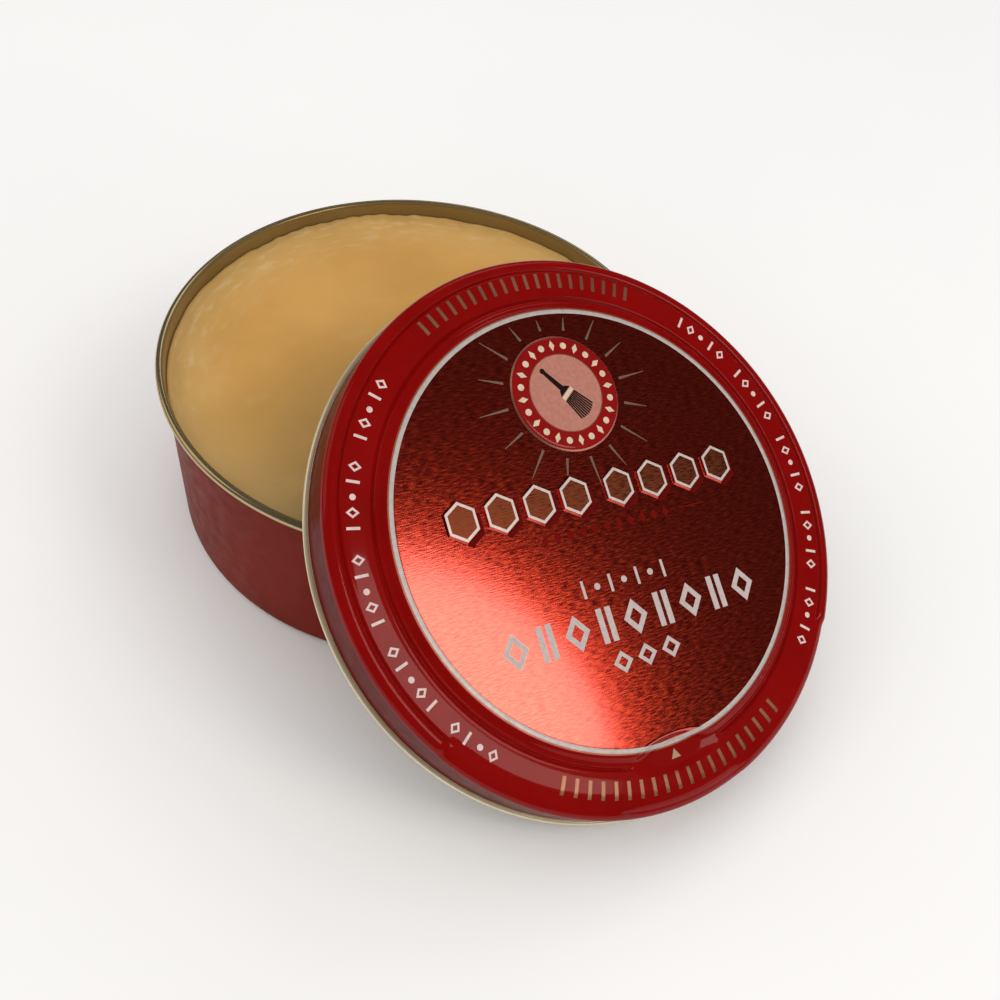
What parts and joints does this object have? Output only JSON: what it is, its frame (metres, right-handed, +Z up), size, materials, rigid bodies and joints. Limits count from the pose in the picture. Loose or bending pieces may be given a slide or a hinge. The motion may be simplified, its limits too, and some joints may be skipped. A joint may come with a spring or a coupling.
{
  "type": "wax polish tin",
  "caption": "Shallow round press-to-open tin of wax polish, opened: the drawn lid leans on the rolled rim of the can, which holds a poured fill of wax.",
  "frame": {"origin": "centre of the can's flat underside, on the table", "axes": "+Z up along the can's axis, +X the way the lid leans away from the can"},
  "size_m": [0.1341, 0.0944, 0.0539],
  "materials": {
    "can_tinplate": "satin red lacquer outside, gold lacquer inside",
    "wax": "satin amber wax",
    "lid_tinplate": "gloss and metallic red lacquer over tinplate"
  },
  "bodies": {
    "can": {"can_shell": "can_tinplate", "wax_fill": "wax"},
    "lid": {"lid_shell": "lid_tinplate"}
  },
  "joints": [
    {"name": "lid_lift", "type": "slide", "parent": "can", "child": "lid", "axis": [0, 0, 1], "range_m": [0, 0.06]}
  ]
}
